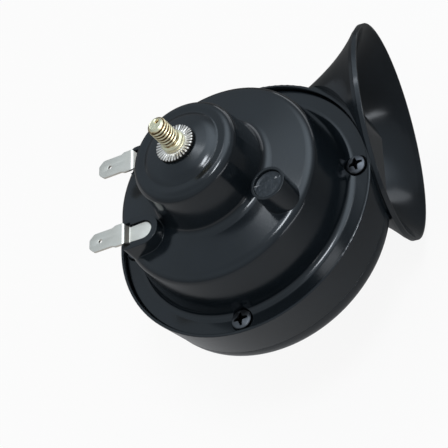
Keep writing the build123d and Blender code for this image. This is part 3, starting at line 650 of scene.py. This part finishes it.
def blade_terminal(node):
    """Stamped 6.3 mm blade: shouldered, stepped up out of its boss, pierced, with rolled-over edges."""
    low, high = lowest_highest(node)
    thickness, edge = 0.8, 0.1
    tongue_length, ramp_length, shoulder_length = 7.1, 2.4, 2.6
    tongue_half, neck_half, shoulder_half, blade_half, tip_half = 2.85, 3.0, 3.7, 3.15, 1.5
    corner_cut, round_steps = 0.25, 24
    hole_radius, hole_from_tip, hole_steps = 0.62, 3.9, 32
    bend_radius, steepness = 0.75, radians(58)
    drop = high.z - low.z - thickness
    middle = (low.y + high.y) / 2
    tip, tongue_end = low.x, high.x
    ramp = tongue_end - tongue_length
    crest = ramp - ramp_length
    shoulder_end = crest - shoulder_length
    one_side = [
        (ramp, tongue_half), (crest + 0.9, neck_half), (crest + 0.3, shoulder_half),
        (shoulder_end + 0.5, shoulder_half), (shoulder_end - 0.4, blade_half), (tip + 1.7, blade_half),
        (tip, tip_half),
    ]
    outline = [Vector((x, y)) for x, y in one_side] + [Vector((x, -y)) for x, y in reversed(one_side)]
    outline = softened(outline, corner_cut)
    outline += [
        Vector((tongue_end - tongue_half + tongue_half * cos(angle), tongue_half * sin(angle)))
        for angle in (radians(-90 + 180 * i / round_steps) for i in range(round_steps + 1))
    ]
    hole_ring = circle(hole_radius, 0.0, hole_steps, (tip + hole_from_tip, 0.0))
    hole = [Vector(point[:2]) for point in hole_ring]
    curve = bpy.data.curves.new(node + "_stamping", "CURVE")
    curve.dimensions = "2D"
    curve.fill_mode = "BOTH"
    curve.extrude = (thickness / 2 - edge) * MM
    curve.bevel_depth = edge * MM
    curve.bevel_resolution = 3
    curve.offset = -edge * MM
    for loop in (outline, hole):
        spline = curve.splines.new("POLY")
        spline.points.add(len(loop) - 1)
        for point, corner in zip(spline.points, loop):
            point.co = (corner.x * MM, corner.y * MM, 0, 1)
        spline.use_cyclic_u = True
    stamping = bpy.data.objects.new(node + "_stamping", curve)
    strip = bmesh.new()
    strip.from_mesh(bpy.data.meshes.new_from_object(stamping))
    bpy.data.objects.remove(stamping)
    bmesh.ops.remove_doubles(strip, verts=strip.verts, dist=2 * same_point * MM)
    # the flat stamping is cut across where it bends, then each point is laid along the bent path
    cuts = 36
    for i in range(cuts + 1):
        x = crest + (ramp - crest) * i / cuts
        bmesh.ops.bisect_plane(
            strip, geom=strip.verts[:] + strip.edges[:] + strip.faces[:], dist=same_point * MM,
            plane_co=(x * MM, 0, 0), plane_no=(1, 0, 0),
        )
    path, path_length = bent_strip_path(crest, high.z - thickness / 2, drop, bend_radius, steepness)
    reach = path(path_length)[0].x - crest
    slack = (ramp - crest - reach) / 2
    points = []
    for vert in strip.verts:
        x, y, z = vert.co / MM
        if x <= crest:
            along, shift = x - crest, 0.0
        elif x <= ramp:
            along, shift = (x - crest) * path_length / (ramp - crest), slack
        else:
            along, shift = path_length + x - ramp, 2 * slack
        at, square = path(along)
        points.append((at.x + shift + square.x * z, y + middle, at.y + square.y * z))
    strip.verts.index_update()
    faces = [[vert.index for vert in face.verts] for face in strip.faces]
    strip.free()
    piece("blade_" + node, points, faces, [tinned_brass], node, sharp=30)


def cross_head_screw(node, turned):
    """Pan head screw: a smooth dome with a wide tapered cross recess, and a plain shank."""
    low, high = lowest_highest(node)
    centre = (low + high) / 2
    head_radius = (high.x - low.x) / 2
    head_height, shank_radius = 2.0, 1.75
    seat = high.z - head_height
    dome_drop, edge_round = 0.65, 0.35
    arm_reach, arm_tip, arm_root, recess_depth = 2.25, 0.36, 0.95, 1.6
    end_slope, side_slope = 0.3, 0.14
    around, dome_rings, first_ring = 192, 56, 0.03

    def recess(x, y):
        """How deep the cross recess is at a point of the head."""
        deepest = 0.0
        for along, across in ((abs(x), abs(y)), (abs(y), abs(x))):
            taper = min(along / arm_reach, 1.0)
            half_width = arm_tip + (arm_root - arm_tip) * (1 - taper) ** 1.4
            inside = 1 - eased(along, arm_reach - end_slope, arm_reach)
            inside *= 1 - eased(across, half_width - side_slope, half_width)
            deepest = max(deepest, inside * (1 - 0.35 * taper))
        return recess_depth * deepest

    rings = []
    dome_radius = head_radius - edge_round
    for i in range(dome_rings):
        r = first_ring + (dome_radius - first_ring) * i / (dome_rings - 1)
        ring = []
        for k in range(around):
            angle = tau * k / around
            across = angle - turned
            z = high.z - dome_drop * (r / head_radius) ** 2 - recess(r * cos(across), r * sin(across))
            ring.append((centre.x + r * cos(angle), centre.y + r * sin(angle), z))
        rings.append(ring)
    shoulder_z = high.z - dome_drop
    sides = [
        (dome_radius + edge_round * sin(angle), shoulder_z - edge_round * (1.25 - cos(angle)))
        for angle in (radians(15 * i) for i in range(2, 7))
    ]
    sides += [
        (head_radius, seat + 0.15), (head_radius - 0.12, seat), (shank_radius, seat),
        (shank_radius, low.z + 0.5), (shank_radius - 0.5, low.z),
    ]
    rings += [circle(r, z, around, centre.xy) for r, z in sides]
    points, faces = wrapped(rings)
    piece("cross_head_" + node, points, faces, [black_zinc], node, sharp=50)


def torn_sealant():
    """Compound in the adjuster's bore: a rough bank that ends in a torn edge above a smooth pool."""
    low, high = lowest_highest("adjuster_sealant")
    centre = (low + high) / 2
    radius = (high.x - low.x) / 2
    bank_z, pool_z = high.z - 0.14, high.z - 0.8
    brim, lip, creep = high.z - 0.01, 0.1, 0.2
    tear_angle, tear_offset = radians(7.1), 1.1
    along = Vector((cos(tear_angle), sin(tear_angle)))
    across = Vector((-sin(tear_angle), cos(tear_angle)))
    columns, bank_rows, pool_rows = 96, 34, 14
    rings = []
    for i in range(columns + 1):
        u = radius * sin(pi * (i / columns - 0.5))
        wall = sqrt(max(radius * radius - u * u, 0.0)) + 0.001
        ragged = 0.3 * wander(u * 1.5, 7.3, 0.0) + 0.12 * wander(u * 5.0, 2.0, 1.0)
        tear = min(wall, tear_offset - 0.1 + ragged)
        row = [(-wall, low.z)]
        for j in range(bank_rows + 1):
            v = -wall + (tear + wall) * j / bank_rows
            bumps = 0.13 * wander(u * 0.7, v * 0.7, 3.0) + 0.05 * wander(u * 2.4, v * 2.4, 5.0)
            raised = lip * eased(v, tear - 0.5, tear - 0.1)
            row.append((v, min(bank_z + 0.7 * bumps + raised, brim)))
        # the torn face drops steeply to the pool
        row.append((min(tear + 0.12, wall), pool_z + 0.2))
        pool_edge = min(tear + 0.2, wall)
        for j in range(pool_rows + 1):
            v = pool_edge + (wall - pool_edge) * j / pool_rows
            climb = creep * eased(sqrt(u * u + v * v), radius - 1.0, radius)
            row.append((v, pool_z + climb + 0.03 * wander(u, v, 8.0)))
        row.append((wall, low.z))
        rings.append([(*(centre.xy + along * u + across * v), z) for v, z in row])
    points, faces = wrapped(rings)
    compound = piece(
        "torn_sealant", points, faces, [sealing_compound, compound_crumbs], "adjuster_sealant",
        sharp=70,
    )
    # where along the tear the crumbs lie, and how far they spread each way
    crumb_places = ((-3.3, 0.9), (2.7, 0.45))
    for face in compound.data.polygons:
        middle = (Vector(face.center) / MM - centre).xy
        u, v = middle.dot(along), middle.dot(across)
        beside_tear = tear_offset - 0.45 < v < tear_offset + 0.2
        near_crumb = any(abs(u - place) < spread for place, spread in crumb_places)
        if beside_tear and near_crumb and wander(u * 2.6, v * 2.6, 9.0) > -0.08:
            face.material_index = 1


threaded_stud()
toothed_washer()
blade_terminal("terminal_lower")
blade_terminal("terminal_upper")
# each screw came to rest with its recess turned another way, in degrees
screw_turns = {"cover_screw_1": 3, "cover_screw_2": 8, "cover_screw_3": 35, "cover_screw_4": 80}
for node, turn in screw_turns.items():
    cross_head_screw(node, radians(turn))
torn_sealant()

# ---------------------------------------------------------------- studio
scene.view_settings.view_transform = "Standard"


def white_ground():
    # Matt white paper roll: white to the eye, with a soft shadow on it. In polished surfaces it is
    # a cool grey glow, with a painted shadow that darkens it toward the bell.
    material, tree = start_material("white_studio_floor")
    toward_bell, lit_edge, dark_edge = (0.5, 0.87, 0.0), -60 * MM, 45 * MM
    rays = add_node(tree, "ShaderNodeLightPath").outputs
    reflected = add_node(
        tree, "ShaderNodeMath", {"operation": "MAXIMUM"},
        links={0: rays["Is Glossy Ray"], 1: rays["Is Transmission Ray"]},
    )
    seen = add_node(
        tree, "ShaderNodeMath", {"operation": "MAXIMUM"},
        links={0: rays["Is Camera Ray"], 1: reflected.outputs["Value"]},
    )
    share = add_node(
        tree, "ShaderNodeMath", {"operation": "MULTIPLY"}, {1: 0.9}, {0: seen.outputs["Value"]}
    )
    plain = add_node(tree, "ShaderNodeBsdfDiffuse", values={"Color": linear("#f6f5f3")})
    white = add_node(tree, "ShaderNodeEmission", values={"Color": linear("#ffffff"), "Strength": 1.0})
    place = add_node(tree, "ShaderNodeTexCoord").outputs["Object"]
    distance = add_node(
        tree, "ShaderNodeVectorMath", {"operation": "DOT_PRODUCT"}, {1: toward_bell}, {0: place}
    )
    # painted shadow: the floor's glow in reflections dims toward the bell
    painted_shadow_toward_bell = add_node(
        tree, "ShaderNodeMapRange",
        values={"From Min": lit_edge, "From Max": dark_edge, "To Min": 0.42, "To Max": 0.05},
        links={"Value": distance.outputs["Value"]},
    )
    mirrored = add_node(
        tree, "ShaderNodeEmission", values={"Color": linear("#f3f6fa")},
        links={"Strength": painted_shadow_toward_bell.outputs["Result"]},
    )
    glow = add_node(
        tree, "ShaderNodeMixShader",
        links={0: rays["Is Camera Ray"], 1: mirrored.outputs["Emission"], 2: white.outputs["Emission"]},
    )
    mixed = add_node(
        tree, "ShaderNodeMixShader",
        links={0: share.outputs["Value"], 1: plain.outputs["BSDF"], 2: glow.outputs["Shader"]},
    )
    add_node(tree, "ShaderNodeOutputMaterial", links={"Surface": mixed.outputs["Shader"]})
    return material


def studio_room():
    # The room round the horn: white to the eye, and an even light on it. In polished surfaces it has
    # a cool ceiling over darker walls, with one soft bright patch high up beside the horn.
    world = bpy.data.worlds.new("studio_world")
    world.use_nodes = True
    tree = world.node_tree
    tree.nodes.clear()
    patch_centre = (0.4056, 0.4056, 0.8192)  # its direction, of length 1
    rays = add_node(tree, "ShaderNodeLightPath").outputs
    reflected = add_node(
        tree, "ShaderNodeMath", {"operation": "MAXIMUM"},
        links={0: rays["Is Glossy Ray"], 1: rays["Is Transmission Ray"]},
    )
    direction = add_node(tree, "ShaderNodeTexCoord").outputs["Generated"]
    axes = add_node(tree, "ShaderNodeSeparateXYZ", links={"Vector": direction})
    walls = add_node(
        tree, "ShaderNodeValToRGB", links={"Fac": axes.outputs["Z"]},
        stops=[(0.0, "#82868b"), (0.3, "#98a2ab"), (0.65, "#b1bec9"), (1.0, "#a2adb7")],
    )
    nearness = add_node(
        tree, "ShaderNodeVectorMath", {"operation": "DOT_PRODUCT"}, {1: patch_centre}, {0: direction}
    )
    patch = add_node(
        tree, "ShaderNodeMapRange", {"interpolation_type": "SMOOTHSTEP"},
        {"From Min": 0.7, "From Max": 1.05, "To Min": 1.0, "To Max": 4.4},
        {"Value": nearness.outputs["Value"]},
    )
    even_light = add_node(
        tree, "ShaderNodeBackground", values={"Color": linear("#ffffff"), "Strength": 0.5}
    )
    mirrored = add_node(
        tree, "ShaderNodeBackground",
        links={"Color": walls.outputs["Color"], "Strength": patch.outputs["Result"]},
    )
    white = add_node(tree, "ShaderNodeBackground", values={"Color": linear("#ffffff"), "Strength": 1.0})
    lit = add_node(
        tree, "ShaderNodeMixShader",
        links={
            0: reflected.outputs["Value"],
            1: even_light.outputs["Background"],
            2: mirrored.outputs["Background"],
        },
    )
    mixed = add_node(
        tree, "ShaderNodeMixShader",
        links={0: rays["Is Camera Ray"], 1: lit.outputs["Shader"], 2: white.outputs["Background"]},
    )
    add_node(tree, "ShaderNodeOutputWorld", links={"Surface": mixed.outputs["Shader"]})
    return world


scene.world = studio_room()

floor_reach = 3000 * MM
floor_z = -97 * MM  # just under the bell's lowest point
floor_mesh = bpy.data.meshes.new("studio_floor")
floor_mesh.from_pydata(
    [(x * floor_reach, y * floor_reach, floor_z) for x, y in ((-1, -1), (1, -1), (1, 1), (-1, 1))],
    [], [(0, 1, 2, 3)],
)
floor_mesh.materials.append(white_ground())
studio_floor = bpy.data.objects.new("studio_floor", floor_mesh)
scene.collection.objects.link(studio_floor)

lamp_aim = Vector((0, 0, -40 * MM))  # the middle of the horn's height


def softbox(name, azimuth, elevation, away, width, height, glow, rolled=0):
    """A soft light on the horn: its direction in degrees, distance and size in mm, and radiance."""
    lamp = bpy.data.lights.new(name, "AREA")
    lamp.shape = "RECTANGLE"
    lamp.size = width * MM
    lamp.size_y = height * MM
    lamp.energy = pi * glow * width * height * MM * MM
    lamp.color = linear("#eef4fb")[:3]
    holder = bpy.data.objects.new(name, lamp)
    outward = Vector(
        (
            cos(radians(elevation)) * cos(radians(azimuth)),
            cos(radians(elevation)) * sin(radians(azimuth)),
            sin(radians(elevation)),
        )
    )
    aim = (-outward).to_track_quat("-Z", "Y").to_matrix().to_4x4()
    roll = Matrix.Rotation(radians(rolled), 4, "Z")
    holder.matrix_world = Matrix.Translation(outward * away * MM + lamp_aim) @ aim @ roll
    scene.collection.objects.link(holder)


softbox("key_softbox", azimuth=-24, elevation=66, away=1150, width=330, height=200, glow=20)
softbox("strip_softbox", azimuth=105, elevation=66, away=1400, width=380, height=120, glow=4)
softbox(
    "low_front_softbox", azimuth=-28, elevation=-4.5, away=300, width=260, height=30, glow=3.6, rolled=-32
)
softbox("low_side_softbox", azimuth=66, elevation=0, away=420, width=360, height=100, glow=1.2)

# The camera looks down on the horn from the stud's side, rolled as the horn lies.
lens_pixels, frame_pixels = 1700, 448
camera_place = Vector((205.40, -289.48, 328.88))
camera_right, camera_up = Vector((0.8608, -0.0190, -0.5086)), Vector((0.2973, 0.8299, 0.4721))
camera_data = bpy.data.cameras.new("studio_camera")
camera_data.sensor_width = 36
camera_data.lens = lens_pixels / frame_pixels * camera_data.sensor_width
camera = bpy.data.objects.new("studio_camera", camera_data)
right = camera_right.normalized()
back = right.cross(camera_up).normalized()
turned = Matrix((right, back.cross(right), back)).transposed().to_4x4()
camera.matrix_world = Matrix.Translation(camera_place * MM) @ turned
scene.collection.objects.link(camera)
scene.camera = camera
